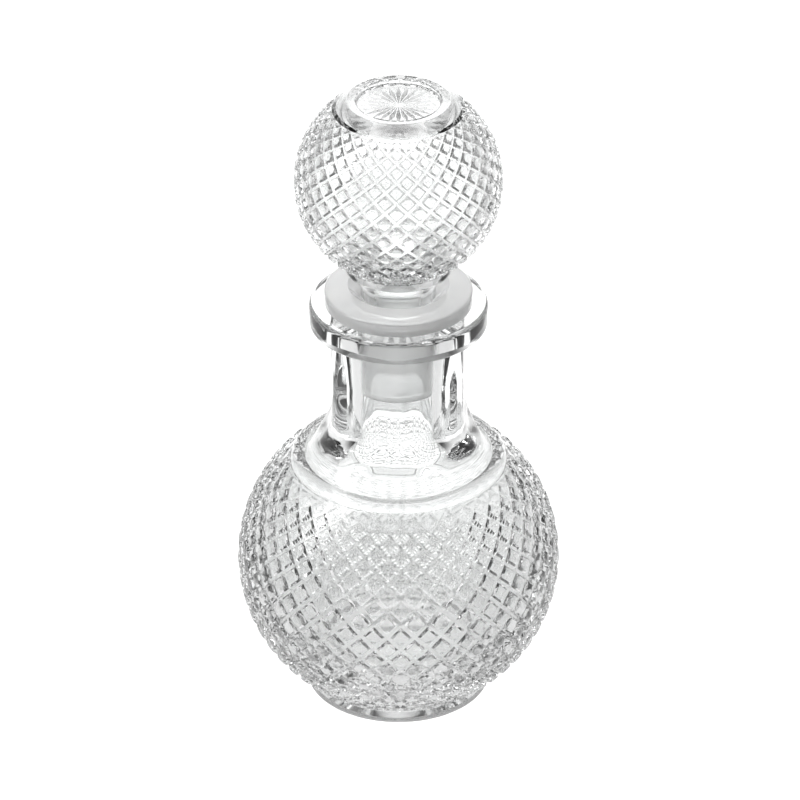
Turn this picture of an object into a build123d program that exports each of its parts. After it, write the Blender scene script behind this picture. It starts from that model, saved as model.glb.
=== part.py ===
from build123d import *
import os
from math import asin, atanh, ceil, cos, cosh, degrees, floor, pi, radians, sin, sqrt, tanh

# Glass bottle with a diamond-cut globe, a six-sided neck and a hollow ball stopper in a soft collar.
# Millimetres, +Z up, origin on the table at the middle of the foot, front towards -Y.

# Globe of the bottle, measured at the crests of its relief
globe_radius = 47.5
globe_half_height = 46.4

# Relief: lozenges that rise from the grooves to the crests, in rows that lean with the curve of the wall
relief_depth = 0.6
lozenge_top_share = 0.6
globe_lozenge_count = 37
globe_lozenge_slant = 1.09
globe_lozenge_turn = 0.88
globe_row_shift_share = 0.06
ball_lozenge_count = 28
ball_lozenge_slant = 0.958
ball_lozenge_turn = -1.15
ball_row_shift_share = -0.405

# Foot ring and the hollow under it
foot_radius = 27.0
foot_height = 4.8
foot_edge_round = 1.2
foot_step = 0.7
foot_rim_width = 5.5
punt_depth = 1.6

# Round bead that closes the globe at the shoulder
bead_radius = 28.8
bead_thickness = 5.6
bead_step = 1.5

# Neck: flared skirt, flats and lip
neck_radius = 20.9
neck_length = 27.0
flare_rise = 19.2
flare_arc_radius = 25.0
flat_radius = 19.5
flat_count = 6
flat_turn = -33.0
flat_drop = 14.0
flat_arc_radius = 16.0
lip_radius = 25.9
lip_thickness = 6.9
lip_top_round = 1.4
lip_under_round = 0.7

# Inside of the bottle
wall_thickness = 6.5
floor_thickness = 5.0
chamber_rise = 8.8
bore_radius = 11.4
bore_mouth_radius = 13.6
bore_shoulder_round = 8.0
mouth_edge_round = 1.0

# Soft sealing collar: a flange on the lip and a plug in the bore
flange_radius = 21.5
flange_thickness = 3.9
flange_crown = 1.5
flange_edge_round = 0.8
plug_length = 26.2
plug_lead_in = 0.7
plug_clearance = 0.08
countersink_radius = 14.7
countersink_depth = 2.8

# Ball stopper
ball_radius = 30.2
ball_wall = 4.2
ball_foot_radius = 15.5
ball_foot_thickness = 3.0
ball_foot_gap = 5.1
ball_foot_round = 1.0
rim_band_radius = 19.0
rim_radius = 14.8
rim_edge_round = 0.9
dish_radius = 12.2
dish_depth = 1.8
top_wall = 4.3
hollow_top_round = 8.0
star_ray_count = 24
star_radius = 11.0
star_hub_radius = 0.9
star_ray_width = 1.5
star_ray_depth = 0.5
star_ray_middle_share = 0.6
stem_radius = 10.9
stem_tip_radius = 9.0
stem_tip_recess = 0.5
stem_tip_round = 1.0
stem_flare_radius = 8.5
stem_flare_rise = 1.2
stem_bore_radius = 6.2
stem_bore_round = 4.0
stem_clearance = 0.06

# One overrun for every cut that runs past the stock, and how near two heights lie that count as one
overrun = 5.0
same_height = 0.001


def rise(radius, half_height, reach):
    """Height above the middle of an oval at which its outline is a given distance from the axis."""
    return half_height * sqrt(1 - (reach / radius) ** 2)


# Heights of the bottle, from the table up
bead_reach = bead_radius + bead_thickness / 2
globe_centre = foot_height + rise(globe_radius, globe_half_height, foot_radius + foot_step)
bead_height = globe_centre + rise(globe_radius, globe_half_height, bead_reach + bead_step)
flare_top = bead_height + flare_rise
flat_foot = flare_top - flat_drop
lip_height = flare_top + neck_length
mouth_height = lip_height + lip_thickness
punt_radius = foot_radius - foot_rim_width
chamber_radius = globe_radius - wall_thickness
chamber_floor = punt_depth + floor_thickness
chamber_half_height = (bead_height + chamber_rise - chamber_floor) / 2
chamber_centre = chamber_floor + chamber_half_height

# Heights of the collar and the stopper, from the mouth up
plug_tip = mouth_height - plug_length
flange_edge = mouth_height + flange_thickness
crown_height = flange_edge + flange_crown
countersink_floor = crown_height - countersink_depth
stem_flare_top = countersink_floor + stem_flare_rise
ball_foot = crown_height + ball_foot_gap
ball_foot_top = ball_foot + ball_foot_thickness
ball_centre = ball_foot_top + rise(ball_radius, ball_radius, ball_foot_radius)
ball_top = ball_centre + rise(ball_radius, ball_radius, rim_radius)
rim_band_foot = ball_centre + rise(ball_radius, ball_radius, rim_band_radius)
hollow_radius = ball_radius - ball_wall
hollow_top = ball_top - dish_depth - top_wall
stem_tip = plug_tip + stem_tip_recess
stem_taper = (stem_radius - stem_tip_radius) / (countersink_floor - stem_tip)


def turned(section):
    """Turn a section, drawn with X as the radius and Y as the height, about the upright axis."""
    return revolve(Plane.XZ * section, axis=Axis.Z)


def band(radius, low, high):
    """Section of a plain round band between two heights."""
    return Pos(radius / 2, (low + high) / 2) * Rectangle(radius, high - low)


def oval(radius, half_height, centre_height):
    """Section of an oval about the axis."""
    return Pos(0, centre_height) * Ellipse(radius, half_height)


def ball(radius, low, high):
    """Section of the stopper's ball, cut flat at two heights."""
    return (Pos(0, ball_centre) * Circle(radius)) & band(radius, low, high)


def eased(section, radius, height, easing):
    """Round the corner of a section that lies nearest to a radius and a height."""
    corner = section.vertices().sort_by_distance((radius, height, 0))[0]
    return fillet(corner, easing)


def flare(radius, arc_radius, start, end):
    """Section of a skirt that starts upright and runs out on a hollow arc to its end, below or above."""
    sweep = degrees(asin((start - end) / arc_radius))
    arc = CenterArc((radius + arc_radius, start), arc_radius, 180, sweep)
    closing = Polyline(arc @ 1, (0, end), (0, start), arc @ 0)
    return make_face(arc + closing)


def facet(*corners):
    """One flat face between corners."""
    return Face(Wire.make_polygon(corners, close=True))


def ringed(radius, turn, height):
    """Point at a turn from the front, seen from above against the clock."""
    return Vector(radius * sin(turn), -radius * cos(turn), height)


def lozenge(corners, middle):
    """A flat-topped diamond: four bevels and a top in two halves, raised from its middle by the relief."""
    outward = (corners[2] - corners[0]).cross(corners[3] - corners[1]).normalized()
    top = [middle + (corner - middle) * lozenge_top_share + outward * relief_depth for corner in corners]
    bevels = [facet(corners[k - 1], corners[k], top[k], top[k - 1]) for k in range(len(corners))]
    return bevels + [facet(top[0], top[1], top[2]), facet(top[0], top[2], top[3])]


def faceted(solid, radius, half_height, centre, pattern, low_ring, high_ring):
    """Put a skin of lozenges in place of a solid's widest faces, between two rings (radius, height)."""
    count, slant, turn, shift = pattern
    half_turn = pi / count
    pitch = slant * half_turn
    groove, groove_half = radius - relief_depth, half_height - relief_depth

    def at(column, row):
        """Point of the groove lattice: columns go round, rows are spaced as on a navigator's chart."""
        lean = (row + shift) * pitch
        height = centre + groove_half * tanh(lean)
        return ringed(groove / cosh(lean), radians(turn) + column * half_turn, height)

    skin = []
    low_row = ceil(atanh((low_ring[1] - centre) / groove_half) / pitch - shift) + 1
    high_row = floor(atanh((high_ring[1] - centre) / groove_half) / pitch - shift) - 1
    for row in range(low_row, high_row + 1):
        for column in range(row % 2, 2 * count, 2):
            corners = [at(column - 1, row), at(column, row - 1), at(column + 1, row), at(column, row + 1)]
            skin += lozenge(corners, at(column, row))
    kept = [face for face in solid.faces() if face.bounding_box().max.X < groove]
    ends = (low_ring, low_row, low_row - 1), (high_ring, high_row, high_row + 1)
    for (reach, height), row, tip_row in ends:
        ring = [ringed(reach, radians(turn) + k * half_turn, height) for k in range(2 * count)]
        for column in range(row % 2, 2 * count, 2):
            for side in (column - 1, column + 1):
                corner, edge = at(side, row), ring[side % (2 * count)]
                skin.append(facet(corner, edge, ring[column]))
                skin.append(facet(corner, ring[column], at(column, tip_row)))
        kept = [
            face for face in kept
            if face.geom_type != GeomType.PLANE or abs(face.center().Z - height) > same_height
        ]
        rims = [edge for face in kept for edge in face.edges().filter_by(GeomType.CIRCLE)]
        rim = min(rims, key=lambda edge: abs(edge.arc_center.Z - height))
        pair = sorted((Wire.make_polygon(ring, close=True), Wire([rim])), key=lambda wire: wire.length)
        skin.append(Face(pair[1], [pair[0]]))
    return Solid(Shell(kept + skin))


def bottle_outside():
    """Section of foot, globe, bead, flared shoulder, neck and lip."""
    foot = band(foot_radius, 0, foot_height)
    globe = oval(globe_radius, globe_half_height, globe_centre)
    globe = globe & band(globe_radius, foot_height, bead_height)
    bead = Pos(bead_radius, bead_height) * Circle(bead_thickness / 2)
    skirt = flare(neck_radius, flare_arc_radius, flare_top, bead_height)
    neck = band(neck_radius, flare_top, mouth_height)
    lip = band(lip_radius, lip_height, mouth_height)
    return foot + globe + bead + skirt + neck + lip


def bottle_inside():
    """Section of the room inside: an oval chamber and a bore that widens to the mouth."""
    chamber = oval(chamber_radius, chamber_half_height, chamber_centre)
    chamber = chamber & band(chamber_radius, 0, mouth_height)
    bore = make_face(Polyline(
        (0, chamber_centre),
        (bore_radius, chamber_centre),
        (bore_radius, plug_tip),
        (bore_mouth_radius, mouth_height),
        (bore_mouth_radius, mouth_height + overrun),
        (0, mouth_height + overrun),
        close=True,
    ))
    return chamber + bore


def punt():
    """Section of the shallow dome under the foot."""
    sphere_radius = (punt_radius**2 + punt_depth**2) / (2 * punt_depth)
    return Pos(0, punt_depth - sphere_radius) * Circle(sphere_radius)


def neck_flats():
    """Cutters for the flats round the neck, which run out on the flared shoulder."""
    kept = flare(flat_radius, flat_arc_radius, flare_top, flat_foot)
    kept += band(flat_radius, flare_top, lip_height)
    stock = band(lip_radius + overrun, flat_foot, lip_height)
    cutter = extrude(Plane.XZ * (stock - kept), neck_radius, both=True)
    return [Rot(Z=flat_turn - 90 + k * 360 / flat_count) * cutter for k in range(flat_count)]


def bottle():
    """The glass bottle: one turned wall with flats cut round its neck and lozenges round its globe."""
    wall = bottle_outside() - bottle_inside() - punt()
    wall = wall & band(globe_radius, 0, mouth_height)
    shoulder = chamber_centre + rise(chamber_radius, chamber_half_height, bore_radius)
    wall = eased(wall, foot_radius, 0, foot_edge_round)
    wall = eased(wall, lip_radius, lip_height, lip_under_round)
    wall = eased(wall, lip_radius, mouth_height, lip_top_round)
    wall = eased(wall, bore_mouth_radius, mouth_height, mouth_edge_round)
    wall = eased(wall, bore_radius, shoulder, bore_shoulder_round)
    groove, groove_half = globe_radius - relief_depth, globe_half_height - relief_depth
    groove_reach = rise(groove_half, groove, bead_height - globe_centre)
    pattern = (globe_lozenge_count, globe_lozenge_slant, globe_lozenge_turn, globe_row_shift_share)
    rings = (foot_radius + foot_step, foot_height), (groove_reach, bead_height)
    cut = turned(wall) - neck_flats()
    return faceted(cut, globe_radius, globe_half_height, globe_centre, pattern, *rings)


def sealing_collar():
    """The soft collar: crowned flange, countersunk hole and a plug that follows the bore."""
    plug_radius = bore_mouth_radius - plug_clearance
    plug_tip_radius = bore_radius - plug_clearance
    hole_radius = stem_radius + stem_clearance
    hole_tip_radius = hole_radius - stem_taper * (countersink_floor - plug_tip)
    outline = Polyline(
        (hole_radius, countersink_floor),
        (hole_tip_radius, plug_tip),
        (plug_tip_radius, plug_tip),
        (plug_radius, mouth_height),
        (flange_radius, mouth_height),
        (flange_radius, flange_edge),
        (countersink_radius, crown_height),
    )
    countersink = RadiusArc(outline @ 1, outline @ 0, countersink_radius - hole_radius)
    section = make_face(outline + countersink)
    section = eased(section, flange_radius, flange_edge, flange_edge_round)
    section = eased(section, plug_tip_radius, plug_tip, plug_lead_in)
    return turned(section)


def stopper_outside():
    """Section of the ball with its plain rim band, its foot, its flared neck and its tapered stem."""
    rim = make_face(Polyline(
        (0, rim_band_foot),
        (rim_band_radius, rim_band_foot),
        (rim_radius, ball_top),
        (0, ball_top),
        close=True,
    ))
    stem = make_face(Polyline(
        (0, stem_tip),
        (stem_tip_radius, stem_tip),
        (stem_radius, countersink_floor),
        (stem_radius, ball_centre),
        (0, ball_centre),
        close=True,
    ))
    foot = band(ball_foot_radius, ball_foot, ball_centre)
    skirt = flare(stem_radius, stem_flare_radius, stem_flare_top, ball_foot)
    return ball(ball_radius, ball_foot_top, rim_band_foot) + rim + foot + skirt + stem


def star():
    """Cutters for the rays of the star in the dish: notches that taper to both ends."""
    floor_height = ball_top - dish_depth
    middle = star_hub_radius + (star_radius - star_hub_radius) * star_ray_middle_share
    rim = [
        Vector(star_hub_radius, 0, floor_height),
        Vector(middle, -star_ray_width / 2, floor_height),
        Vector(star_radius, 0, floor_height),
        Vector(middle, star_ray_width / 2, floor_height),
    ]
    root = Vector(middle, 0, floor_height - star_ray_depth)
    sides = [facet(rim[k - 1], rim[k], root) for k in range(len(rim))]
    ray = Solid(Shell(sides + [facet(*rim)]))
    return [Rot(Z=k * 360 / star_ray_count) * ray for k in range(star_ray_count)]


def stopper():
    """The hollow glass ball with its lozenges, starred top and foot, and its stem, open at the tip."""
    hollow = ball(hollow_radius, ball_foot, hollow_top)
    stem_bore = band(stem_bore_radius, stem_tip, ball_centre)
    dish = band(dish_radius, ball_top - dish_depth, ball_top)
    section = stopper_outside() - hollow - stem_bore - dish
    section = section & band(ball_radius, stem_tip, ball_top)
    hollow_rim = sqrt(hollow_radius**2 - (hollow_top - ball_centre) ** 2)
    stem_bore_top = ball_centre - rise(hollow_radius, hollow_radius, stem_bore_radius)
    section = eased(section, rim_radius, ball_top, rim_edge_round)
    section = eased(section, ball_foot_radius, ball_foot, ball_foot_round)
    section = eased(section, stem_tip_radius, stem_tip, stem_tip_round)
    section = eased(section, hollow_rim, hollow_top, hollow_top_round)
    section = eased(section, stem_bore_radius, stem_bore_top, stem_bore_round)
    groove = ball_radius - relief_depth
    pattern = (ball_lozenge_count, ball_lozenge_slant, ball_lozenge_turn, ball_row_shift_share)
    ends = ball_foot_top, rim_band_foot
    rings = [(rise(groove, groove, height - ball_centre), height) for height in ends]
    cut = turned(section) - star()
    return faceted(cut, ball_radius, ball_radius, ball_centre, pattern, *rings)


os.makedirs("parts", exist_ok=True)
export_step(bottle(), "parts/bottle.step")
export_step(sealing_collar(), "parts/sealing_collar.step")
export_step(stopper(), "parts/stopper.step")
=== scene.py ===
import math

import bpy
import numpy as np
from bpy.props import FloatProperty, FloatVectorProperty, IntProperty, PointerProperty
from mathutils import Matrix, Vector


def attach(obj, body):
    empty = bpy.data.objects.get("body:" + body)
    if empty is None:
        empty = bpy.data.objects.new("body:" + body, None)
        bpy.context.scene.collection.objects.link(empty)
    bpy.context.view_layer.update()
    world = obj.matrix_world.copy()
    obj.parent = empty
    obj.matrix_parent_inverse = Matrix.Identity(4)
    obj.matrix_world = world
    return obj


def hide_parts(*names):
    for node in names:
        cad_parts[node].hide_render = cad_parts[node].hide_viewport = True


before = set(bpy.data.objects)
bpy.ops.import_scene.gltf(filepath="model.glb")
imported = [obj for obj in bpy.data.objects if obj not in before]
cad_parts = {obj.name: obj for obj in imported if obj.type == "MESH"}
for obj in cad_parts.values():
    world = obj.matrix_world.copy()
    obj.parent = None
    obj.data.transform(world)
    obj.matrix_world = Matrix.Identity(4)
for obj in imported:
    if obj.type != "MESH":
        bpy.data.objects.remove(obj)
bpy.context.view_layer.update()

bl_info = {
    "name": "Stoppered Glass Bottle",
    "version": (1, 0, 0),
    "blender": (4, 5, 0),
    "location": "3D View > Sidebar > Glass Bottle",
    "description": "Builds a pressed glass bottle with a diamond-cut globe, its collar and its ball stopper",
    "category": "Add Mesh",
}


# Kinds of property

def length(name, default, least, description):
    """A length in metres."""
    return FloatProperty(name=name, description=description, default=default, min=least, unit="LENGTH")


def fraction(name, default, description, least=0.0, most=1.0):
    """A share, of what the description says."""
    return FloatProperty(name=name, description=description, default=default, min=least, max=most,
                         subtype="FACTOR")


def number(name, default, least, description, most=1000000.0):
    """A number without a unit."""
    return FloatProperty(name=name, description=description, default=default, min=least, max=most)


def whole(name, default, least, description, most=1000):
    """A number of like things."""
    return IntProperty(name=name, description=description, default=default, min=least, max=most)


def turned(name, degrees, description):
    """An angle, given in degrees and kept in radians."""
    return FloatProperty(name=name, description=description, default=math.radians(degrees), subtype="ANGLE")


def watts(name, default, description):
    """The power of a lamp."""
    return FloatProperty(name=name, description=description, default=default, min=0.0, unit="POWER")


def colour(name, default, description):
    """A colour of three channels."""
    return FloatVectorProperty(name=name, description=description, default=default, size=3, min=0.0, max=1.0,
                               subtype="COLOR")


# Sizes and colours that a user would change

class GlassReliefSizes(bpy.types.PropertyGroup):
    """The lozenges that are pressed into the globe and the ball."""

    depth: length("Depth", 0.0009, 0.0, "How far the crests stand above the grooves")
    groove_share: fraction("Groove share", 0.2, "Flat floor of a groove, as a share of half a lozenge", 0.0, 0.9)
    bevel_share: fraction("Bevel share", 0.4, "Share of half a lozenge at which its bevel ends", 0.01, 1.0)
    crown_share: fraction("Crown share", 0.12, "Share of the depth that the top gains past its bevel")
    faint_share: fraction("Faint share", 0.3, "Share of the depth that the last row of lozenges is pressed")
    globe_corner_power: number("Globe corner power", 7.5, 2.0,
                               "Power of the mean that rounds a globe lozenge's corners", 40.0)
    ball_corner_power: number("Ball corner power", 6.0, 2.0,
                              "Power of the mean that rounds a ball lozenge's corners", 40.0)
    samples: whole("Samples", 10, 4, "Grid cells across one lozenge", 16)
    globe_count: whole("Globe lozenges", 37, 8, "Lozenges round the globe")
    globe_slant: number("Globe slant", 1.09, 0.3, "Height of a globe lozenge over its width", 3.0)
    globe_turn: turned("Globe turn", 0.88, "Turn of the globe's lozenges from the front")
    globe_shift: number("Globe shift", 0.06, -1.0, "Rise of the globe's middle row, in rows", 1.0)
    ball_count: whole("Ball lozenges", 28, 8, "Lozenges round the ball")
    ball_slant: number("Ball slant", 0.958, 0.3, "Height of a ball lozenge over its width", 3.0)
    ball_turn: turned("Ball turn", -1.15, "Turn of the ball's lozenges from the front")
    ball_shift: number("Ball shift", -0.405, -1.0, "Rise of the ball's middle row, in rows", 1.0)


class GlassBottleSizes(bpy.types.PropertyGroup):
    """The bottle: foot, globe, bead, shoulder, neck, lip and the room inside."""

    globe_radius: length("Globe radius", 0.0474, 0.01, "Radius at the crests of the relief")
    globe_half_height: length("Globe half height", 0.0464, 0.01, "Half height of the globe's oval")
    foot_radius: length("Foot radius", 0.027, 0.005, "Outer radius of the foot")
    foot_height: length("Foot height", 0.0048, 0.001, "Height of the plain foot")
    foot_round: length("Foot round", 0.0012, 0.0001, "Rounding of the foot's lower edge")
    foot_step: length("Foot step", 0.0007, 0.0, "How far the globe starts outside the foot")
    foot_rim: length("Foot rim", 0.0055, 0.001, "Width of the ring that the bottle stands on")
    punt_depth: length("Punt depth", 0.0016, 0.0001, "Depth of the hollow under the foot")
    bead_radius: length("Bead radius", 0.0288, 0.005, "Radius to the middle of the bead")
    bead_thickness: length("Bead thickness", 0.0056, 0.0005, "Thickness of the bead")
    bead_step: length("Bead step", 0.0015, 0.0, "How far the globe's oval passes outside the bead")
    neck_radius: length("Neck radius", 0.0209, 0.005, "Radius at the neck's rounded ridges")
    neck_length: length("Neck length", 0.027, 0.001, "Straight part of the neck under the lip")
    flare_rise: length("Flare rise", 0.0192, 0.001, "Height of the flared shoulder above the bead")
    flare_arc: length("Flare arc", 0.025, 0.001, "Radius of the shoulder's hollow curve")
    flat_count: whole("Flats", 6, 3, "Flat panels round the neck")
    flat_radius: length("Flat radius", 0.0192, 0.005, "Distance of the flats from the axis")
    flat_turn: turned("Flat turn", -33.0, "Turn of one flat from the front")
    flat_arc: length("Flat arc", 0.016, 0.001, "Radius on which the flats run out on the shoulder")
    flat_soft: length("Flat soft edge", 0.001, 0.0001, "Width over which a flat blends into a ridge")
    lip_radius: length("Lip radius", 0.0259, 0.005, "Outer radius of the lip")
    lip_thickness: length("Lip thickness", 0.0069, 0.001, "Height of the lip")
    lip_round: length("Lip round", 0.0014, 0.0001, "Rounding of the lip's upper edge")
    lip_under_round: length("Lip under round", 0.0007, 0.0001, "Rounding of the lip's lower edge")
    wall: length("Wall", 0.0065, 0.001, "Thickness of the globe's wall")
    floor: length("Floor", 0.005, 0.001, "Thickness of the glass above the punt")
    chamber_rise: length("Chamber rise", 0.0088, 0.0, "How far the room inside goes on above the bead")
    bore_radius: length("Bore radius", 0.0114, 0.001, "Radius of the bore below the plug")
    mouth_radius: length("Mouth radius", 0.0136, 0.001, "Radius of the bore at the mouth")
    mouth_round: length("Mouth round", 0.001, 0.0001, "Rounding of the mouth's edge")
    shoulder_round: length("Shoulder round", 0.008, 0.0001, "Rounding where the bore opens into the room")


class GlassCollarSizes(bpy.types.PropertyGroup):
    """The soft collar between bottle and stopper."""

    flange_radius: length("Flange radius", 0.0215, 0.005, "Outer radius of the flange")
    flange_thickness: length("Flange thickness", 0.0039, 0.0005, "Height of the flange's edge")
    flange_crown: length("Flange crown", 0.0015, 0.0, "Rise of the flange towards its hole")
    flange_round: length("Flange round", 0.0008, 0.0001, "Rounding of the flange's upper edge")
    plug_length: length("Plug length", 0.0262, 0.001, "How far the plug reaches into the bore")
    lead_in: length("Lead-in", 0.0007, 0.0001, "Rounding of the plug's lower edge")
    clearance: length("Clearance", 0.00008, 0.0, "Gap between plug and bore")
    countersink_radius: length("Countersink radius", 0.0147, 0.001, "Radius of the dished entry for the stem")
    countersink_depth: length("Countersink depth", 0.0028, 0.0001, "Depth of the dished entry for the stem")
    entry_sag: length("Entry sag", 0.0006, 0.0, "How far the dished entry curves in from a straight slope")
    edge_lift: length("Edge lift", 0.0001, 0.0, "How far the flange's rounding ends above its edge")
    root_bevel: length("Root bevel", 0.0003, 0.0, "Reach of the bevel between plug and flange")


class GlassStopperSizes(bpy.types.PropertyGroup):
    """The hollow ball stopper and its stem."""

    ball_radius: length("Ball radius", 0.03012, 0.005, "Radius at the crests of the relief")
    wall: length("Wall", 0.0042, 0.001, "Thickness of the ball's wall")
    foot_radius: length("Foot radius", 0.0155, 0.001, "Radius of the plain foot under the ball")
    foot_thickness: length("Foot thickness", 0.003, 0.0005, "Height of the plain foot under the ball")
    foot_gap: length("Foot gap", 0.0051, 0.0, "Gap between the collar's crown and the ball's foot")
    foot_round: length("Foot round", 0.001, 0.0001, "Rounding of the foot's lower edge")
    band_radius: length("Rim band radius", 0.019, 0.001, "Radius at which the plain band round the top starts")
    rim_radius: length("Rim radius", 0.0148, 0.001, "Radius of the flat top")
    rim_round: length("Rim round", 0.0009, 0.0001, "Rounding of the flat top's edge")
    dish_radius: length("Dish radius", 0.0122, 0.001, "Radius of the dish in the top")
    dish_depth: length("Dish depth", 0.0018, 0.0001, "Depth of the dish in the top")
    dish_bevel: length("Dish bevel", 0.0003, 0.00001, "Bevel of the dish's edges")
    top_wall: length("Top wall", 0.0043, 0.0005, "Thickness of the glass under the dish")
    hollow_round: length("Hollow round", 0.008, 0.0001, "Rounding of the hollow under the top")
    star_rays: whole("Star rays", 24, 3, "Rays of the star in the dish")
    star_radius: length("Star radius", 0.011, 0.001, "Radius that the rays reach")
    star_hub: length("Star hub", 0.0009, 0.0, "Radius at which the rays start")
    star_width: length("Ray width", 0.0015, 0.0001, "Width of a ray at its widest part")
    star_widest: fraction("Ray's widest part", 0.6, "Share of a ray's length at which it is widest", 0.01, 0.99)
    star_depth: length("Ray depth", 0.0008, 0.0, "Depth of a ray at its widest part")
    stem_radius: length("Stem radius", 0.0109, 0.001, "Radius of the stem at the collar")
    stem_tip_radius: length("Stem tip radius", 0.009, 0.001, "Radius of the stem at its tip")
    stem_recess: length("Stem recess", 0.0005, 0.0, "How far the stem's tip stays inside the plug")
    stem_round: length("Stem round", 0.001, 0.0001, "Rounding of the stem's tip")
    flare_radius: length("Flare radius", 0.0085, 0.001, "Radius of the curve between stem and foot")
    flare_rise: length("Flare rise", 0.0012, 0.0, "Height above the countersink at which that curve starts")
    bore_radius: length("Stem bore radius", 0.0062, 0.001, "Radius of the bore in the stem")
    bore_round: length("Stem bore round", 0.004, 0.0001, "Rounding where that bore opens into the hollow")
    stem_clearance: length("Stem clearance", 0.00006, 0.0, "Gap between stem and collar")


class GlassFinishes(bpy.types.PropertyGroup):
    """Colours and surface values of glass, plastic and floor."""

    glass_tint: colour("Glass tint", (0.99, 0.995, 0.995), "Colour of the glass where it is thinnest")
    glass_shade: colour("Glass shade", (0.965, 0.975, 0.972), "Colour of the faint streaks in the glass")
    glass_index: number("Glass index", 1.51, 1.0, "Refractive index of the glass", 2.5)
    inner_haze: fraction("Inner haze", 0.08, "Roughness of the glass on the unpolished inside")
    ball_haze: fraction("Ball haze", 0.16, "Roughness of the glass inside the blown ball")
    streak_scale: number("Streak scale", 45.0, 0.0, "Streaks of tint in a metre of glass")
    patch_scale: number("Patch scale", 160.0, 0.0, "Patches of haze in a metre of glass")
    patch_haze: fraction("Patch haze", 0.02, "Roughness of the glass where the patches are strongest")
    wave_scale: number("Wave scale", 90.0, 0.0, "Waves in a metre of the glass's surface")
    wave_height: length("Wave height", 0.0004, 0.0, "Height of those waves, of which a tenth is shown")
    glass_shadow: fraction("Glass shadow", 0.05, "Share of the light that one glass surface keeps back")
    collar_light: colour("Collar light", (0.985, 0.985, 0.98), "Lighter colour of the collar's plastic")
    collar_dark: colour("Collar dark", (0.93, 0.935, 0.94), "Darker colour of the collar's plastic")
    collar_clearness: fraction("Collar clearness", 0.6, "How much of the light goes through the plastic")
    collar_shine: fraction("Collar shine", 1.0, "Weight of the shine over the plastic's satin skin")
    collar_index: number("Collar index", 1.3, 1.0, "Refractive index of the collar's plastic", 2.5)
    cloud_scale: number("Cloud scale", 120.0, 0.0, "Clouds in a metre of plastic")
    skin_scale: number("Skin scale", 300.0, 0.0, "Smooth and rough places in a metre of plastic")
    skin_smooth: fraction("Smooth skin", 0.12, "Roughness of the plastic where it is smoothest")
    skin_rough: fraction("Rough skin", 0.2, "Roughness of the plastic where it is roughest")
    grain_scale: number("Grain scale", 600.0, 0.0, "Grains in a metre of plastic")
    grain_height: length("Grain height", 0.00005, 0.0, "Height of those grains, of which a tenth is shown")
    shine_roughness: fraction("Shine roughness", 0.06, "Roughness of the shine over the plastic")
    shine_index: number("Shine index", 1.7, 1.0, "Refractive index of the shine over the plastic", 2.5)
    floor_scale: number("Floor scale", 3.0, 0.0, "Paler patches in a metre of floor")
    floor_pale: number("Floor paler", 1.01, 1.0, "Colour of those patches over the floor's colour", 2.0)
    floor_colour: colour("Floor colour", (0.66, 0.66, 0.66), "Colour of the floor")
    floor_lift: number("Floor lift", 0.6, 0.0, "Brightness that the floor adds for the camera", 1.0)
    # Painted light: the floor's glow in glass and mirrored light is painted, and its lack near the object and at the
    # sides is painted shade.
    floor_painted_glow_in_glass: number("Floor lift in glass", 0.88, 0.0, "Brightness that the far floor adds in glass", 2.0)
    side_share_of_painted_glow: fraction("Floor side share", 0.05, "Share of it that is left at the sides")
    narrowing_of_painted_glow: number("Floor narrowing", 4.0, 0.1, "Power that narrows that light to the front and back", 20.0)
    near_end_of_painted_glow: length("Near floor", 0.0, 0.0, "Distance up to which the floor adds nothing in glass")
    far_end_of_painted_glow: length("Far floor", 0.28, 0.01, "Distance from which the floor adds its full brightness")


class GlassStageSizes(bpy.types.PropertyGroup):
    """Camera, lamps and surroundings."""

    distance: length("Camera distance", 2.0, 0.1, "Distance from the camera to its target")
    elevation: turned("Camera elevation", 30.77, "Angle at which the camera looks down")
    target_height: length("Target height", 0.0951, 0.0, "Height of the point that the camera looks at")
    focal_pixels: number("Focal length", 6868.0, 100.0, "Focal length in pixels of an 800 pixel frame")
    shift_pixels: number("Shift", 1.5, -100.0, "Shift of the picture to the left in pixels of that frame", 100.0)
    floor_half: length("Floor half width", 3.0, 0.5, "Distance from the middle of the floor to its sides")
    lamp_target: length("Lamp target", 0.08, 0.0, "Height of the point that the lamps face")
    lamp_power: watts("Lamp power", 12.5, "Power of the soft lamp overhead")
    side_power: watts("Side lamp power", 7.0, "Power of the soft lamp at the left")
    side_level: number("Side level", 0.04, 0.0, "Brightness of the surroundings to left and right")
    back_level: number("Back level", 1.1, 0.0, "Brightness of the surroundings behind the object")
    front_level: number("Front level", 0.04, 0.0, "Brightness of the surroundings before the object")
    top_level: number("Top level", 0.5, 0.0, "Brightness of the surroundings overhead")


# Width of the frame in which the camera's sizes are given
frame_pixels = 800.0

# Angle between two faces from which the edge between them is sharp
glass_crease = math.radians(24.0)
collar_crease = math.radians(40.0)

quarter = math.pi / 2

# Where a straight side goes on past a rounding, in radii of the rounding from its edge
side_start = 1.3


# Curves in the plane of radius and height

def rise(radius, half_height, reach):
    """Height above an oval's middle at which its outline is at a given reach from the axis: the half height times
    the root of one minus the square of reach over radius."""
    return half_height * math.sqrt(1.0 - (reach / radius) ** 2)


def arc(middle, radius, start, end, count):
    """Points on a circle: the middle plus radius times cosine and sine of an angle that runs evenly from start to
    end."""
    angle = np.linspace(start, end, count)
    return np.column_stack([middle[0] + radius * np.cos(angle), middle[1] + radius * np.sin(angle)])


def lower_edge(reach, height, rounding):
    """Points of an outer edge that is rounded upwards from a height to its reach from the axis."""
    return arc((reach - rounding, height + rounding), rounding, -quarter, 0, count=5)


def run(start, end, count):
    """Points spaced evenly on a straight line from start to end."""
    share = np.linspace(0.0, 1.0, count)[:, None]
    return np.array(start) * (1.0 - share) + np.array(end) * share


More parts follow.
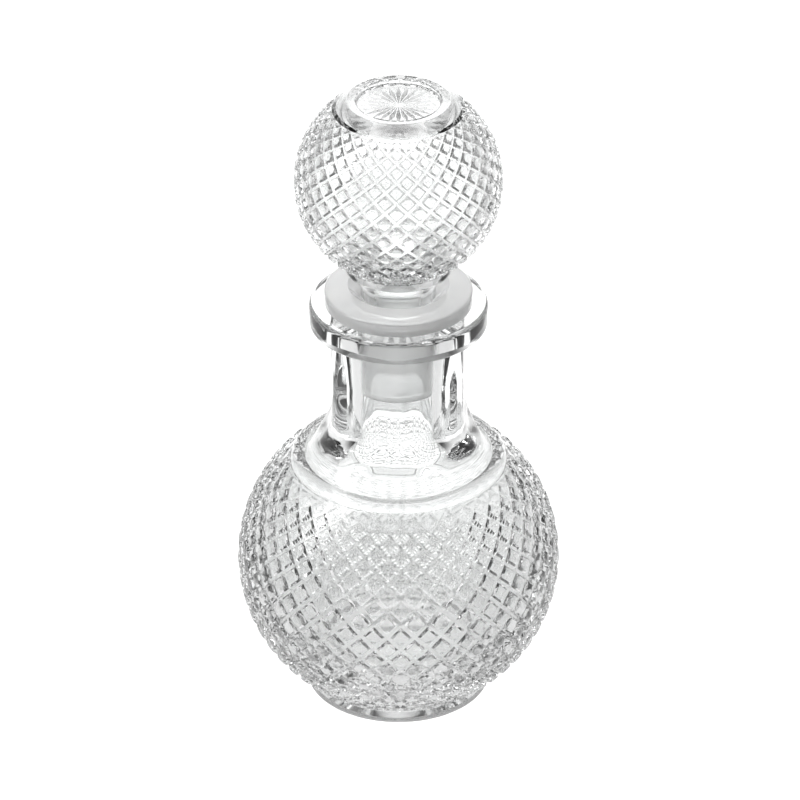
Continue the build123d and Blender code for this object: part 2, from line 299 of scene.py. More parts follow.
def joined(parts):
    """Join named parts of an outline, each a table of radius and height, and drop a point that repeats the one
    before. Gives the outline and, for every point, the name of its part."""
    points = np.vstack([part for _, part in parts])
    names = np.concatenate([np.full(len(part), name) for name, part in parts])
    keep = np.ones(len(points), bool)
    keep[1:] = np.linalg.norm(np.diff(points, axis=0), axis=1) > 1e-6
    return points[keep], names[keep]


# Surfaces

def lozenge_lift(turn, row, count, power, relief, low_row, high_row):
    """Height of the relief, from 0 in the grooves to 1 at the crests. A point's column and row give two diagonal
    coordinates, column plus row and column minus row, and a lozenge's middle is where both are even. The nearness
    to a groove is one minus the power mean of the two distances from that middle, which rounds the corners. The
    lift climbs over the bevel and then along a shallow parabola to the crown. The last row is faintly pressed."""
    column = turn * count / math.pi
    rising, falling = column + row, column - row
    own_rising, own_falling = 2.0 * np.round(rising / 2.0), 2.0 * np.round(falling / 2.0)
    mean = (np.abs(rising - own_rising) ** power + np.abs(falling - own_falling) ** power) ** (1.0 / power)
    inside = np.clip(1.0 - mean, 0.0, 1.0)
    bevel = np.clip((inside - relief.groove_share) / (relief.bevel_share - relief.groove_share), 0.0, 1.0)
    past = np.clip((inside - relief.bevel_share) / (1.0 - relief.bevel_share), 0.0, 1.0)
    lift = bevel * (1.0 - relief.crown_share) + relief.crown_share * (1.0 - (1.0 - past) ** 2)
    own_row = np.round((own_rising - own_falling) / 2.0)
    rows_past = [own_row > high_row + 1, own_row > high_row, own_row < low_row - 1]
    pressed = np.select(rows_past, [0.0, relief.faint_share, 0.0], 1.0)
    return lift * pressed


def round_grid(outline, columns, start):
    """Turns spaced evenly from a start, and the outline's radius and height for each of them."""
    turn = start + np.arange(columns) * 2 * math.pi / columns
    return turn, np.repeat(outline[:, :1], columns, axis=1), np.repeat(outline[:, 1:], columns, axis=1)


def relief_lift(turn, leans, pitch, shift, count, power, relief):
    """Lift of a globe's or a ball's relief over its grid of leans and turns, with whole lozenges only."""
    low_row = math.ceil(leans[0] / pitch - shift) + 1
    high_row = math.floor(leans[-1] / pitch - shift) - 1
    return lozenge_lift(turn[None, :], (leans / pitch - shift)[:, None], count, power, relief, low_row, high_row)


def lathe(name, radius, height, turn, crease, inside=None, ends="poles"):
    """Closed mesh over a grid of rows and turns: a point is at radius times sine of turn, minus radius times cosine
    of turn, and its height. The first and last rows close in a point each, or with ends "ring" the last row joins
    the first. Each cell is cut along the diagonal whose ends differ least in height of relief, so that the edges of
    the lozenges stay straight. Edges sharper than the crease are kept. The share of each row that counts as the
    inside goes into the attribute "inside"."""
    rows, columns = radius.shape
    grid = np.stack([radius * np.sin(turn), -radius * np.cos(turn), height], axis=-1)
    body = grid if ends == "ring" else grid[1:-1]
    count = len(body)
    lower = np.arange(count if ends == "ring" else count - 1)[:, None] * columns
    upper = (lower + columns) % (count * columns)
    here, there = np.arange(columns)[None, :], (np.arange(columns)[None, :] + 1) % columns
    corners = [(lower + here).ravel(), (lower + there).ravel(), (upper + there).ravel(), (upper + here).ravel()]
    points = body.reshape(-1, 3)
    bend = np.hypot(points[:, 0], points[:, 1])
    straight = np.abs(bend[corners[0]] - bend[corners[2]]) <= np.abs(bend[corners[1]] - bend[corners[3]])
    first = np.where(straight, [corners[0], corners[1], corners[2]], [corners[0], corners[1], corners[3]]).T
    second = np.where(straight, [corners[0], corners[2], corners[3]], [corners[1], corners[2], corners[3]]).T
    triangles = [first, second]
    if ends == "poles":
        points = np.vstack([points, grid[0].mean(axis=0), grid[-1].mean(axis=0)])
        top = (count - 1) * columns
        low_pole, high_pole = np.full(columns, count * columns), np.full(columns, count * columns + 1)
        triangles.append(np.stack([low_pole, there[0], here[0]], axis=-1))
        triangles.append(np.stack([high_pole, top + here[0], top + there[0]], axis=-1))
    triangles = np.vstack(triangles).astype(np.int32)
    mesh = bpy.data.meshes.new(name)
    mesh.vertices.add(len(points))
    mesh.vertices.foreach_set("co", points.astype(np.float32).ravel())
    mesh.loops.add(triangles.size)
    mesh.loops.foreach_set("vertex_index", triangles.ravel())
    mesh.polygons.add(len(triangles))
    mesh.polygons.foreach_set("loop_start", np.arange(0, triangles.size, 3, dtype=np.int32))
    mesh.update(calc_edges=True)
    if mesh.validate():
        raise RuntimeError(f"{name}: the mesh had faces that aren't valid")
    mesh.shade_smooth()
    if inside is not None:
        share = np.concatenate([np.repeat(inside[1:-1], columns), inside[:1], inside[-1:]])
        mesh.attributes.new("inside", "FLOAT", "POINT").data.foreach_set("value", share.astype(np.float32))
    mesh.set_sharp_from_angle(angle=crease)
    piece = bpy.data.objects.new(name, mesh)
    bpy.context.scene.collection.objects.link(piece)
    return piece


def bottle_heights(size):
    """Heights of the bottle from the table up, each from the one below it."""
    heights = {}
    inner, outer = size.foot_radius + size.foot_step, size.bead_radius + size.bead_thickness / 2 + size.bead_step
    heights["globe"] = size.foot_height + rise(size.globe_radius, size.globe_half_height, inner)
    heights["bead"] = heights["globe"] + rise(size.globe_radius, size.globe_half_height, outer)
    heights["flare"] = heights["bead"] + size.flare_rise
    heights["lip"] = heights["flare"] + size.neck_length
    heights["mouth"] = heights["lip"] + size.lip_thickness
    return heights


def globe_rows(half_height, middle, low, high, pitch, shift, samples):
    """Leans of the rows of a globe's grid. A lean is the inverse hyperbolic tangent of height over half height, so
    that a lozenge has the same shape at every height. The rows fall on whole shares of a lozenge."""
    low_lean, high_lean = np.arctanh((low - middle) / half_height), np.arctanh((high - middle) / half_height)
    step = 2.0 * pitch / samples
    first = math.ceil((low_lean - shift * pitch) / step)
    last = math.floor((high_lean - shift * pitch) / step)
    leans = shift * pitch + step * np.arange(first, last + 1)
    leans = leans[(leans > low_lean + step / 4) & (leans < high_lean - step / 4)]
    return np.concatenate([[low_lean], leans, [high_lean]])


def oval_grid(radius, half_height, middle, leans, sunk=0.0):
    """Radius and height of an oval's rows at given leans: the radius over the hyperbolic cosine, and the half
    height times the hyperbolic tangent above the middle, both less what is sunk."""
    leans = leans[:, None]
    return (radius - sunk) / np.cosh(leans), middle + (half_height - sunk) * np.tanh(leans)


def bottle_piece(size, relief, collar):
    """The bottle as one closed surface: the outline goes from the middle of the punt over foot, globe, bead,
    shoulder, neck and lip, and back down the bore and the oval room inside. On the globe the oval shrinks by the
    relief's depth times one minus its lift. On the neck the radius is the soft minimum of the round outline and of
    the flats, each flat being its distance over the cosine of the turn from its middle."""
    z = bottle_heights(size)
    punt_radius = size.foot_radius - size.foot_rim
    dome = (punt_radius**2 + size.punt_depth**2) / (2 * size.punt_depth)
    punt = arc((0, size.punt_depth - dome), dome, quarter, math.acos(punt_radius / dome), count=5)
    foot = np.vstack([
        lower_edge(size.foot_radius, 0.0, size.foot_round),
        run((size.foot_radius, size.foot_round * 2), (size.foot_radius, size.foot_height), count=2),
    ])

    pitch = relief.globe_slant * math.pi / relief.globe_count
    groove_half = size.globe_half_height - relief.depth
    leans = globe_rows(groove_half, z["globe"], size.foot_height, z["bead"], pitch, relief.globe_shift,
                       relief.samples)
    oval = size.globe_radius, size.globe_half_height, z["globe"], leans
    globe = np.hstack(oval_grid(*oval))

    def skirt_reach(height):
        return size.neck_radius + size.flare_arc - np.sqrt(size.flare_arc**2 - (z["flare"] - height) ** 2)

    bead = arc((size.bead_radius, z["bead"]), size.bead_thickness / 2, 0, math.pi, count=21)
    bead = bead[(bead[:, 0] > skirt_reach(bead[:, 1])) & (bead[:, 1] >= z["bead"])]
    low = math.pi + math.asin((z["flare"] - bead[-1, 1]) / size.flare_arc)
    skirt = arc((size.neck_radius + size.flare_arc, z["flare"]), size.flare_arc, low, math.pi, count=20)[1:]
    neck = run((size.neck_radius, z["flare"]), (size.neck_radius, z["lip"]), count=5)[1:]
    upper = (size.lip_radius - size.lip_round, z["mouth"] - size.lip_round)
    mouth = (size.mouth_radius + size.mouth_round, z["mouth"] - size.mouth_round)
    lip = np.vstack([
        lower_edge(size.lip_radius, z["lip"], size.lip_under_round),
        arc(upper, size.lip_round, 0, quarter, count=7),
        arc(mouth, size.mouth_round, quarter, 2 * quarter, count=5),
    ])

    chamber_floor = size.punt_depth + size.floor
    half = (z["bead"] + size.chamber_rise - chamber_floor) / 2
    middle = chamber_floor + half
    wide = size.globe_radius - size.wall
    # The rounding at the bore's end has its centre on the room's oval, offset by that rounding.
    angle = np.linspace(0.05, quarter, num=400)
    normal = np.column_stack([half * np.sin(angle), wide * np.cos(angle)])
    normal /= np.linalg.norm(normal, axis=1)[:, None]
    room = np.column_stack([wide * np.sin(angle), middle + half * np.cos(angle)])
    offset = room + normal * size.shoulder_round
    touch = np.interp(size.bore_radius + size.shoulder_round, offset[:, 0], angle)
    centre_height = np.interp(touch, angle, offset[:, 1])
    touch_point = (wide * math.sin(touch), middle + half * math.cos(touch))
    centre = (size.bore_radius + size.shoulder_round, centre_height)
    turn_end = math.atan2(touch_point[1] - centre[1], touch_point[0] - centre[0]) % (2 * math.pi)
    plug_tip = z["mouth"] - collar.plug_length
    bore = np.vstack([
        run((size.bore_radius, plug_tip), (size.bore_radius, centre_height), count=3),
        arc(centre, size.shoulder_round, math.pi, turn_end, count=10),
    ])
    around = np.linspace(touch, math.pi, num=44)[1:]
    chamber = np.column_stack([wide * np.sin(around), middle + half * np.cos(around)])
    chamber[-1, 0] = 0.0

    outline, part = joined([("foot", punt), ("foot", foot), ("globe", globe), ("bead", bead), ("neck", skirt),
                            ("neck", neck), ("lip", lip), ("bore", bore), ("chamber", chamber)])
    turn, radius, height = round_grid(outline, relief.globe_count * relief.samples, relief.globe_turn)

    on_globe = part == "globe"
    lift = relief_lift(turn - relief.globe_turn, leans, pitch, relief.globe_shift, relief.globe_count,
                       relief.globe_corner_power, relief)
    plain = np.clip((leans - leans[0]) / pitch, 0.0, 1.0)[:, None]
    sunk = relief.depth * (1.0 - lift) * plain
    radius[on_globe], height[on_globe] = oval_grid(*oval, sunk)

    on_neck = part == "neck"
    drop = np.clip(z["flare"] - outline[on_neck, 1], 0.0, size.flat_arc)
    flat = (size.flat_radius + size.flat_arc - np.sqrt(size.flat_arc**2 - drop**2))[:, None]
    step = 2 * math.pi / size.flat_count
    local = (turn - size.flat_turn + step / 2) % step - step / 2
    plane = flat / np.cos(local)
    share = np.clip(0.5 + 0.5 * (radius[on_neck] - plane) / size.flat_soft, 0.0, 1.0)
    radius[on_neck] = radius[on_neck] * (1 - share) + plane * share - size.flat_soft * share * (1 - share)
    return lathe("bottle_glass", radius, height, turn, glass_crease, inside=part == "chamber")


def collar_heights(bottle, collar):
    """Heights of the collar above the bottle's mouth."""
    mouth = bottle_heights(bottle)["mouth"]
    heights = {"mouth": mouth, "tip": mouth - collar.plug_length, "edge": mouth + collar.flange_thickness}
    heights["crown"] = heights["edge"] + collar.flange_crown
    heights["countersink"] = heights["crown"] - collar.countersink_depth
    return heights


def collar_piece(bottle, collar, stopper):
    """The collar as a closed ring: its outline goes up the plug's outside, out under the flange, over its crown,
    down the dished entry and the hole, and is turned about the axis."""
    z = collar_heights(bottle, collar)
    stem_tip = z["tip"] + stopper.stem_recess
    taper = (stopper.stem_radius - stopper.stem_tip_radius) / (z["countersink"] - stem_tip)
    hole = stopper.stem_radius + stopper.stem_clearance
    hole_tip = hole - taper * (z["countersink"] - z["tip"])
    plug_tip, plug_top = bottle.bore_radius - collar.clearance, bottle.mouth_radius - collar.clearance
    slope = math.atan2(collar.flange_crown, collar.flange_radius - collar.countersink_radius)
    lift = collar.edge_lift
    edge = (collar.flange_radius - collar.flange_round, z["edge"] - collar.flange_round + lift)
    sink = np.linspace(0.0, 1.0, num=8)[:, None]
    start, end = np.array((collar.countersink_radius, z["crown"])), np.array((hole, z["countersink"]))
    dished = start * (1 - sink) + end * sink - collar.entry_sag * 4 * sink * (1 - sink)
    outline, _ = joined([("ring", points) for points in (
        lower_edge(plug_tip, z["tip"], collar.lead_in),
        run((plug_tip, z["tip"] + collar.lead_in), (plug_top, z["mouth"]), count=9),
        run((plug_top + collar.root_bevel, z["mouth"]), (collar.flange_radius, z["mouth"]), count=5),
        arc(edge, collar.flange_round, 0, quarter - slope, count=6),
        run((edge[0] - collar.flange_round * 0.2, z["edge"] + lift * 2), start, count=6),
        dished,
        run(end, (hole_tip, z["tip"]), count=6),
    )])
    turn, radius, height = round_grid(outline, columns=192, start=0.0)
    return lathe("collar_plastic", radius, height, turn, collar_crease, ends="ring")


def star_depth(size, reach, turn):
    """Depth of the star's rays: each ray is a V whose width grows evenly from the hub to its widest part and shrinks
    to its tip, and a point is as deep as the V's half width there less its distance from the ray's line."""
    step = 2 * math.pi / size.star_rays
    local = np.abs((turn + step / 2) % step - step / 2)
    across = reach * np.sin(local)
    widest = size.star_hub + size.star_widest * (size.star_radius - size.star_hub)
    wide = np.minimum((reach - size.star_hub) / (widest - size.star_hub),
                      (size.star_radius - reach) / (size.star_radius - widest))
    half = np.clip(wide, 0.0, 1.0) * size.star_width / 2
    return size.star_depth * np.clip(half - across, 0.0, None) / (size.star_width / 2)


def stopper_piece(bottle, collar, size, relief):
    """The stopper as one closed surface: the outline goes from under the top down the hollow and the stem's bore,
    round the tip and up the stem, foot, ball, plain band and rim into the dish, whose floor is lowered by the star.
    On the ball the radius shrinks by the relief's depth times one minus its lift."""
    z = collar_heights(bottle, collar)
    foot = z["crown"] + size.foot_gap
    foot_top = foot + size.foot_thickness
    middle = foot_top + rise(size.ball_radius, size.ball_radius, size.foot_radius)
    top = middle + rise(size.ball_radius, size.ball_radius, size.rim_radius)
    band_foot = middle + rise(size.ball_radius, size.ball_radius, size.band_radius)
    hollow, ceiling = size.ball_radius - size.wall, top - size.dish_depth - size.top_wall
    tip = z["tip"] + size.stem_recess

    shelf = ceiling - size.hollow_round - middle
    shelf_reach = math.sqrt((hollow - size.hollow_round) ** 2 - shelf**2)
    high_turn = math.atan2(shelf, shelf_reach)
    mouth_reach = size.bore_radius + size.bore_round
    mouth_drop = math.sqrt((hollow + size.bore_round) ** 2 - mouth_reach**2)
    low_turn = -math.atan2(mouth_drop, mouth_reach)
    inside = np.vstack([
        run((0, ceiling), (shelf_reach, ceiling), count=5),
        arc((shelf_reach, middle + shelf), size.hollow_round, quarter, high_turn, count=8),
        arc((0, middle), hollow, high_turn, low_turn, count=40),
        arc((mouth_reach, middle - mouth_drop), size.bore_round, low_turn + math.pi, math.pi, count=6),
        run((size.bore_radius, middle - mouth_drop - size.bore_round / 4), (size.bore_radius, tip), count=5),
    ])
    stem = np.vstack([
        lower_edge(size.stem_tip_radius, tip, size.stem_round),
        run((size.stem_tip_radius, tip + size.stem_round * side_start), (size.stem_radius, z["countersink"]),
            count=7),
    ])
    flare_top = z["countersink"] + size.flare_rise
    sweep = math.asin((foot - flare_top) / size.flare_radius)
    flare = arc((size.stem_radius + size.flare_radius, flare_top), size.flare_radius, math.pi, math.pi - sweep,
                count=10)
    foot_part = np.vstack([
        lower_edge(size.foot_radius, foot, size.foot_round),
        run((size.foot_radius, foot + size.foot_round * side_start), (size.foot_radius, foot_top), count=3),
    ])

    pitch = relief.ball_slant * math.pi / relief.ball_count
    groove = size.ball_radius - relief.depth
    leans = globe_rows(groove, middle, foot_top, band_foot, pitch, relief.ball_shift, relief.samples)
    oval = size.ball_radius, size.ball_radius, middle, leans
    ball = np.hstack(oval_grid(*oval))
    slope = math.atan2(top - band_foot, size.band_radius - size.rim_radius)
    rim_reach = size.rim_radius - size.rim_round * math.tan(slope / 2)
    band_end = (size.rim_radius + 2 * size.dish_bevel, top - 2 * size.dish_bevel * math.tan(slope))
    dish_floor = top - size.dish_depth
    rim = np.vstack([
        run((size.band_radius, band_foot), band_end, count=4),
        arc((rim_reach, top - size.rim_round), size.rim_round, quarter - slope, quarter, count=5),
        run((size.dish_radius + size.dish_bevel, top), (size.dish_radius, top - size.dish_bevel), count=2),
        run((size.dish_radius, dish_floor + size.dish_bevel), (size.dish_radius - size.dish_bevel, dish_floor),
            count=2),
    ])
    dish = run((size.dish_radius - 2 * size.dish_bevel, dish_floor), (0, dish_floor), count=20)

    outline, part = joined([("hollow", inside), ("stem", stem), ("stem", flare), ("foot", foot_part), ("ball", ball),
                            ("rim", rim), ("dish", dish)])
    turn, radius, height = round_grid(outline, relief.ball_count * relief.samples, relief.ball_turn)

    on_ball = part == "ball"
    lift = relief_lift(turn - relief.ball_turn, leans, pitch, relief.ball_shift, relief.ball_count,
                       relief.ball_corner_power, relief)
    sunk = relief.depth * (1.0 - lift)
    radius[on_ball], height[on_ball] = oval_grid(*oval, sunk)
    on_dish = part == "dish"
    height[on_dish] -= star_depth(size, radius[on_dish], turn)
    return lathe("stopper_glass", radius, height, turn, glass_crease, inside=part == "hollow")


# Finishes

def blank_material(name):
    """A new material with nodes, its Principled shader and its tree."""
    material = bpy.data.materials.new(name)
    material.use_nodes = True
    return material, material.node_tree, material.node_tree.nodes["Principled BSDF"]


def math_node(tree, operation, *inputs):
    """One step of arithmetic on numbers and outputs of other nodes."""
    node = tree.nodes.new("ShaderNodeMath")
    node.operation = operation
    for socket, given in zip(node.inputs, inputs):
        if isinstance(given, float):
            socket.default_value = given
        else:
            tree.links.new(given, socket)
    return node.outputs["Value"]


def noise(tree, coordinate, scale, detail):
    """Noise with a number of features in a metre as scale, and of finer layers as detail."""
    node = tree.nodes.new("ShaderNodeTexNoise")
    node.inputs["Scale"].default_value = scale
    node.inputs["Detail"].default_value = detail
    tree.links.new(coordinate, node.inputs["Vector"])
    return node.outputs["Fac"]


def ramp(tree, value, low, high, start=0.3, end=0.7, kind="LINEAR"):
    """Map a value between start and end, where noise mostly lies, to a range from low to high."""
    node = tree.nodes.new("ShaderNodeMapRange")
    node.interpolation_type = kind
    for name, given in (("From Min", start), ("From Max", end), ("To Min", low), ("To Max", high)):
        node.inputs[name].default_value = given
    tree.links.new(value, node.inputs["Value"])
    return node.outputs["Result"]


def fill(shader, **values):
    """Set inputs of a shader, each named by its words joined with underscores."""
    for name, value in values.items():
        shader.inputs[name.replace("_", " ")].default_value = value


def blend_colours(tree, shader, value, one, other):
    """Colour a shader by a mix of two colours, by a value between 0 and 1."""
    node = tree.nodes.new("ShaderNodeMix")
    node.data_type = "RGBA"
    node.inputs["A"].default_value, node.inputs["B"].default_value = (*one, 1.0), (*other, 1.0)
    tree.links.new(value, node.inputs["Factor"])
    tree.links.new(node.outputs["Result"], shader.inputs["Base Color"])


def bumped(tree, shader, value, height):
    """Raise a surface faintly by a value, with the height of a full step."""
    node = tree.nodes.new("ShaderNodeBump")
    node.inputs["Strength"].default_value = 0.1
    node.inputs["Distance"].default_value = height
    tree.links.new(value, node.inputs["Height"])
    tree.links.new(node.outputs["Normal"], shader.inputs["Normal"])


def glass_finish(name, look, inner_haze):
    """Pressed clear glass: faint streaks of tint, a slow waviness of the surface, a trace of haze in patches, and
    more of it on the inside, which no mould polishes."""
    material, tree, shader = blank_material(name)
    place = tree.nodes.new("ShaderNodeTexCoord").outputs["Object"]
    streaks = ramp(tree, noise(tree, place, look.streak_scale, detail=2.0), 0.0, 1.0)
    blend_colours(tree, shader, streaks, look.glass_tint, look.glass_shade)
    inside = tree.nodes.new("ShaderNodeAttribute")
    inside.attribute_name = "inside"
    patches = ramp(tree, noise(tree, place, look.patch_scale, detail=3.0), 0.0, look.patch_haze)
    haze = math_node(tree, "MULTIPLY_ADD", inside.outputs["Fac"], inner_haze, patches)
    tree.links.new(haze, shader.inputs["Roughness"])
    fill(shader, IOR=look.glass_index, Transmission_Weight=1.0)
    bumped(tree, shader, noise(tree, place, look.wave_scale, detail=1.0), look.wave_height)
    path = tree.nodes.new("ShaderNodeLightPath")
    lighting = math_node(tree, "MAXIMUM", path.outputs["Is Shadow Ray"], path.outputs["Is Diffuse Ray"])
    solid = math_node(tree, "MULTIPLY_ADD", lighting, look.glass_shadow - 1.0, 1.0)
    tree.links.new(solid, shader.inputs["Alpha"])
    return material


def collar_finish(name, look):
    """Soft translucent plastic: milky colour with faint clouds, a satin skin with a slight shine over it, and a fine
    moulded grain."""
    material, tree, shader = blank_material(name)
    place = tree.nodes.new("ShaderNodeTexCoord").outputs["Object"]
    clouds = ramp(tree, noise(tree, place, look.cloud_scale, detail=3.0), 0.0, 1.0)
    blend_colours(tree, shader, clouds, look.collar_light, look.collar_dark)
    skin = noise(tree, place, look.skin_scale, detail=2.0)
    tree.links.new(ramp(tree, skin, look.skin_smooth, look.skin_rough), shader.inputs["Roughness"])
    fill(shader, IOR=look.collar_index, Transmission_Weight=look.collar_clearness, Coat_Weight=look.collar_shine,
         Coat_Roughness=look.shine_roughness, Coat_IOR=look.shine_index)
    bumped(tree, shader, noise(tree, place, look.grain_scale, detail=1.0), look.grain_height)
    return material


def floor_finish(name, look):
    """Plain pale floor that keeps its shadows. It adds light to rays from the camera, so that the ground reads as
    white. In glass and in mirrored light it adds a painted glow that grows with the distance from the object, so
    that the floor near the object is painted shade, and less of it to the left and right, painted shade for dark
    sides."""
    material, tree, shader = blank_material(name)
    place = tree.nodes.new("ShaderNodeTexCoord").outputs["Object"]
    paler = tuple(min(1.0, value * look.floor_pale) for value in look.floor_colour)
    patches = ramp(tree, noise(tree, place, look.floor_scale, detail=2.0), 0.0, 1.0)
    blend_colours(tree, shader, patches, look.floor_colour, paler)
    fill(shader, Roughness=1.0, Specular_IOR_Level=0.0, Emission_Color=(1.0, 1.0, 1.0, 1.0))
    path = tree.nodes.new("ShaderNodeLightPath")
    reach = tree.nodes.new("ShaderNodeVectorMath")
    reach.operation = "LENGTH"
    tree.links.new(place, reach.inputs[0])
    # Painted glow on the floor, seen only in glass and mirrored light; none near the object, where the floor reads
    # as painted shade.
    painted_glow_by_distance = ramp(tree, reach.outputs["Value"], 0.0, look.floor_painted_glow_in_glass, look.near_end_of_painted_glow, look.far_end_of_painted_glow,
                "SMOOTHSTEP")
    parts = tree.nodes.new("ShaderNodeSeparateXYZ")
    tree.links.new(place, parts.inputs[0])
    # The painted glow fades to the left and right, painted shade that stands in for dark sides.
    ahead = math_node(tree, "DIVIDE", parts.outputs["Y"], reach.outputs["Value"])
    ahead = math_node(tree, "POWER", math_node(tree, "ABSOLUTE", ahead), look.narrowing_of_painted_glow)
    share = math_node(tree, "MULTIPLY_ADD", ahead, 1.0 - look.side_share_of_painted_glow, look.side_share_of_painted_glow)
    sweep = math_node(tree, "MULTIPLY", painted_glow_by_distance, share)
    in_glass = math_node(tree, "MAXIMUM", path.outputs["Is Glossy Ray"], path.outputs["Is Transmission Ray"])
    direct = math_node(tree, "MULTIPLY", path.outputs["Is Camera Ray"], look.floor_lift)
    total = math_node(tree, "MULTIPLY_ADD", in_glass, sweep, direct)
    tree.links.new(total, shader.inputs["Emission Strength"])
    return material


# Operators

class GLASS_OT_add_bottle(bpy.types.Operator):
    """Add the bottle's glass, which stands for the bottle of the frame"""

    bl_idname = "glass_bottle.add_bottle"
    bl_label = "Bottle"

    def execute(self, context):
        scene = context.scene
        piece = bottle_piece(scene.glass_bottle_sizes, scene.glass_relief_sizes, scene.glass_collar_sizes)
        look = scene.glass_finishes
        piece.data.materials.append(glass_finish("pressed_glass_bottle", look, look.inner_haze))
        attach(piece, "bottle")
        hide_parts("bottle")
        return {"FINISHED"}


class GLASS_OT_add_collar(bpy.types.Operator):
    """Add the sealing collar's plastic, which stands for the collar of the frame"""

    bl_idname = "glass_bottle.add_collar"
    bl_label = "Sealing collar"

    def execute(self, context):
        scene = context.scene
        piece = collar_piece(scene.glass_bottle_sizes, scene.glass_collar_sizes, scene.glass_stopper_sizes)
        piece.data.materials.append(collar_finish("translucent_plastic", scene.glass_finishes))
        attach(piece, "collar")
        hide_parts("sealing_collar")
        return {"FINISHED"}


class GLASS_OT_add_stopper(bpy.types.Operator):
    """Add the ball stopper's glass, which stands for the stopper of the frame"""

    bl_idname = "glass_bottle.add_stopper"
    bl_label = "Ball stopper"

    def execute(self, context):
        scene = context.scene
        piece = stopper_piece(scene.glass_bottle_sizes, scene.glass_collar_sizes, scene.glass_stopper_sizes,
                              scene.glass_relief_sizes)
        look = scene.glass_finishes
        piece.data.materials.append(glass_finish("pressed_glass_stopper", look, look.ball_haze))
        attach(piece, "stopper")
        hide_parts("stopper")
        return {"FINISHED"}


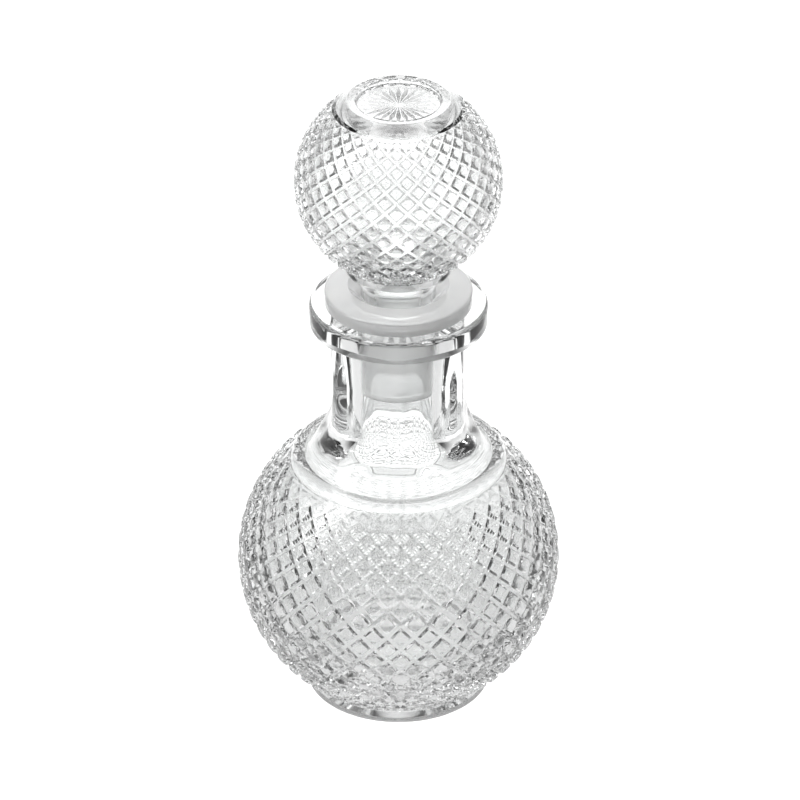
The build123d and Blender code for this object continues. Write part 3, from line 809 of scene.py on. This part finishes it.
class GLASS_OT_add_stage(bpy.types.Operator):
    """Add the floor, the soft surroundings, the lamps and the camera"""

    bl_idname = "glass_bottle.add_stage"
    bl_label = "Stage"

    def add_floor(self, scene):
        mesh = bpy.data.meshes.new("floor")
        half = scene.glass_stage_sizes.floor_half
        corners = [(-half, -half, 0.0), (half, -half, 0.0), (half, half, 0.0), (-half, half, 0.0)]
        mesh.from_pydata(corners, [], [(0, 1, 2, 3)])
        floor = bpy.data.objects.new("floor", mesh)
        scene.collection.objects.link(floor)
        floor.data.materials.append(floor_finish("pale_floor_with_painted_glow", scene.glass_finishes))

    def add_surroundings(self, scene, stage):
        """Surroundings whose brightness is the sum of side, front or back, and top level, each times the square of
        that part of the direction. The front or back level is narrowed by its share of the level part of the
        direction. Rays from the camera see plain white."""
        world = bpy.data.worlds.new("soft_surroundings")
        scene.world = world
        world.use_nodes = True
        tree = world.node_tree
        background = tree.nodes["Background"]
        parts = tree.nodes.new("ShaderNodeSeparateXYZ")
        tree.links.new(tree.nodes.new("ShaderNodeTexCoord").outputs["Generated"], parts.inputs[0])
        squares = [math_node(tree, "MULTIPLY", parts.outputs[axis], parts.outputs[axis]) for axis in "XYZ"]
        level_part = math_node(tree, "ADD", squares[0], squares[1])
        ahead = math_node(tree, "DIVIDE", squares[1], level_part)
        ahead = math_node(tree, "MULTIPLY", squares[1], ahead)
        behind = math_node(tree, "GREATER_THAN", parts.outputs["Y"], 0.0)
        depth = math_node(tree, "MULTIPLY_ADD", behind, stage.back_level - stage.front_level, stage.front_level)
        level = math_node(tree, "MULTIPLY", squares[0], stage.side_level)
        level = math_node(tree, "MULTIPLY_ADD", ahead, depth, level)
        level = math_node(tree, "MULTIPLY_ADD", squares[2], stage.top_level, level)
        path = tree.nodes.new("ShaderNodeLightPath")
        dark = math_node(tree, "SUBTRACT", 1.0, level)
        seen = math_node(tree, "MULTIPLY_ADD", dark, path.outputs["Is Camera Ray"], level)
        tree.links.new(seen, background.inputs["Strength"])
        background.inputs["Color"].default_value = (1.0, 1.0, 1.0, 1.0)

    def add_lamp(self, scene, name, place, wide, tall, power):
        """A rectangular lamp that faces the middle of the object."""
        lamp = bpy.data.lights.new(name, "AREA")
        lamp.shape = "RECTANGLE"
        lamp.size, lamp.size_y = wide, tall
        lamp.energy = power
        holder = bpy.data.objects.new(name, lamp)
        scene.collection.objects.link(holder)
        holder.location = place
        middle = Vector((0.0, 0.0, scene.glass_stage_sizes.lamp_target))
        holder.rotation_euler = (middle - Vector(place)).to_track_quat("-Z", "Y").to_euler()

    def add_camera(self, scene, stage):
        camera = bpy.data.cameras.new("camera")
        holder = bpy.data.objects.new("camera", camera)
        scene.collection.objects.link(holder)
        away = Vector((0.0, -math.cos(stage.elevation), math.sin(stage.elevation)))
        holder.location = Vector((0.0, 0.0, stage.target_height)) + away * stage.distance
        holder.rotation_euler = (math.pi / 2 - stage.elevation, 0.0, 0.0)
        camera.lens = stage.focal_pixels / frame_pixels * camera.sensor_width
        camera.shift_x = stage.shift_pixels / frame_pixels
        camera.clip_end = 50.0
        scene.camera = holder

    def execute(self, context):
        scene = context.scene
        stage = scene.glass_stage_sizes
        self.add_floor(scene)
        self.add_surroundings(scene, stage)
        self.add_lamp(scene, "lamp_overhead", place=(0.0, 0.1, 1.2), wide=1.0, tall=1.0, power=stage.lamp_power)
        self.add_lamp(scene, "lamp_left", place=(-1.2, -0.3, 0.9), wide=0.5, tall=1.2, power=stage.side_power)
        self.add_camera(scene, stage)
        scene.view_settings.view_transform = "Standard"
        return {"FINISHED"}


class GLASS_PT_panel(bpy.types.Panel):
    """Sidebar panel that lists the pieces of the bottle and its stage"""

    bl_idname = "GLASS_PT_panel"
    bl_label = "Glass Bottle"
    bl_space_type = "VIEW_3D"
    bl_region_type = "UI"
    bl_category = "Glass Bottle"

    def draw(self, context):
        column = self.layout.column(align=True)
        for operator in (GLASS_OT_add_bottle, GLASS_OT_add_collar, GLASS_OT_add_stopper, GLASS_OT_add_stage):
            column.operator(operator.bl_idname, text=operator.bl_label)
        for group in groups:
            settings = getattr(context.scene, group)
            box = self.layout.box()
            box.label(text=group.replace("_", " ").capitalize())
            for name in settings.__annotations__:
                box.prop(settings, name)


groups = {
    "glass_bottle_sizes": GlassBottleSizes,
    "glass_relief_sizes": GlassReliefSizes,
    "glass_collar_sizes": GlassCollarSizes,
    "glass_stopper_sizes": GlassStopperSizes,
    "glass_finishes": GlassFinishes,
    "glass_stage_sizes": GlassStageSizes,
}
classes = (*groups.values(), GLASS_OT_add_bottle, GLASS_OT_add_collar, GLASS_OT_add_stopper, GLASS_OT_add_stage,
           GLASS_PT_panel)


def register():
    for each in classes:
        bpy.utils.register_class(each)
    for name, group in groups.items():
        setattr(bpy.types.Scene, name, PointerProperty(type=group))


def unregister():
    for name in groups:
        delattr(bpy.types.Scene, name)
    for each in reversed(classes):
        bpy.utils.unregister_class(each)


def main():
    register()
    bpy.ops.glass_bottle.add_bottle()
    bpy.ops.glass_bottle.add_collar()
    bpy.ops.glass_bottle.add_stopper()
    bpy.ops.glass_bottle.add_stage()


if __name__ == "__main__":
    main()
